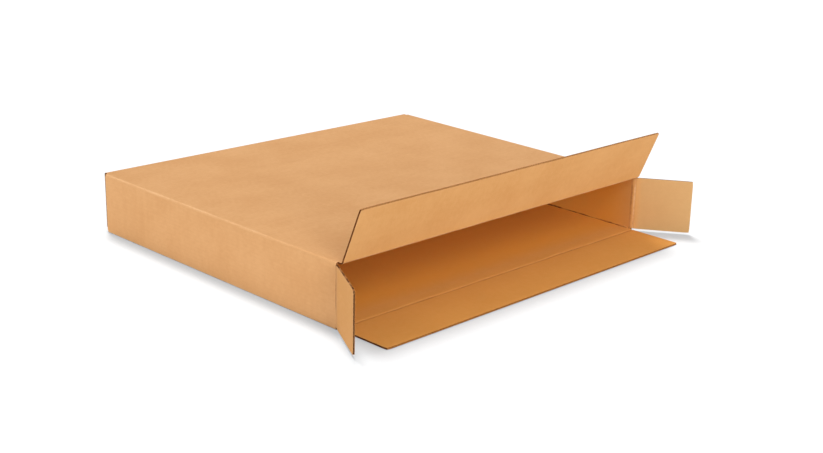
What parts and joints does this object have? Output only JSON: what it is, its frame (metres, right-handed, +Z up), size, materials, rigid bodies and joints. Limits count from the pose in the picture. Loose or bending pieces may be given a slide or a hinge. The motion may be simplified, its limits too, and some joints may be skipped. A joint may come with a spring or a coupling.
{
  "type": "side-loading cardboard box",
  "caption": "Wide, flat corrugated box of plain brown board, open along its long side with full-depth flaps folded out and its other end closed.",
  "frame": {"origin": "centre of the bottom panel's outer face, midway between the front crease of the top flap and the closed rear end", "axes": "+X along the long opening, to the right as seen from in front of it; the opening faces -Y; +Z up"},
  "size_m": [1.0644, 0.9126, 0.2508],
  "materials": {
    "kraft_board": "matte"
  },
  "bodies": {
    "box": {"box_body": "kraft_board"},
    "top_flap": {"top_flap": "kraft_board"},
    "bottom_flap": {"bottom_flap": "kraft_board"},
    "left_flap": {"left_flap": "kraft_board"},
    "right_flap": {"right_flap": "kraft_board"}
  },
  "joints": [
    {"name": "top_flap_crease", "type": "hinge", "parent": "box", "child": "top_flap", "pos_m": [0, -0.3934, 0.135], "axis": [-1, 0, 0], "range_deg": [-157, 103]},
    {"name": "bottom_flap_crease", "type": "hinge", "parent": "box", "child": "bottom_flap", "pos_m": [0, -0.389, 0], "axis": [1, 0, 0], "range_deg": [-90, 0]},
    {"name": "left_flap_crease", "type": "hinge", "parent": "box", "child": "left_flap", "pos_m": [-0.461, -0.3846, 0.0675], "axis": [0, 0, -1], "range_deg": [-118.5, 141.5]},
    {"name": "right_flap_crease", "type": "hinge", "parent": "box", "child": "right_flap", "pos_m": [0.461, -0.3846, 0.0675], "axis": [0, 0, 1], "range_deg": [-125.5, 134.5]}
  ]
}
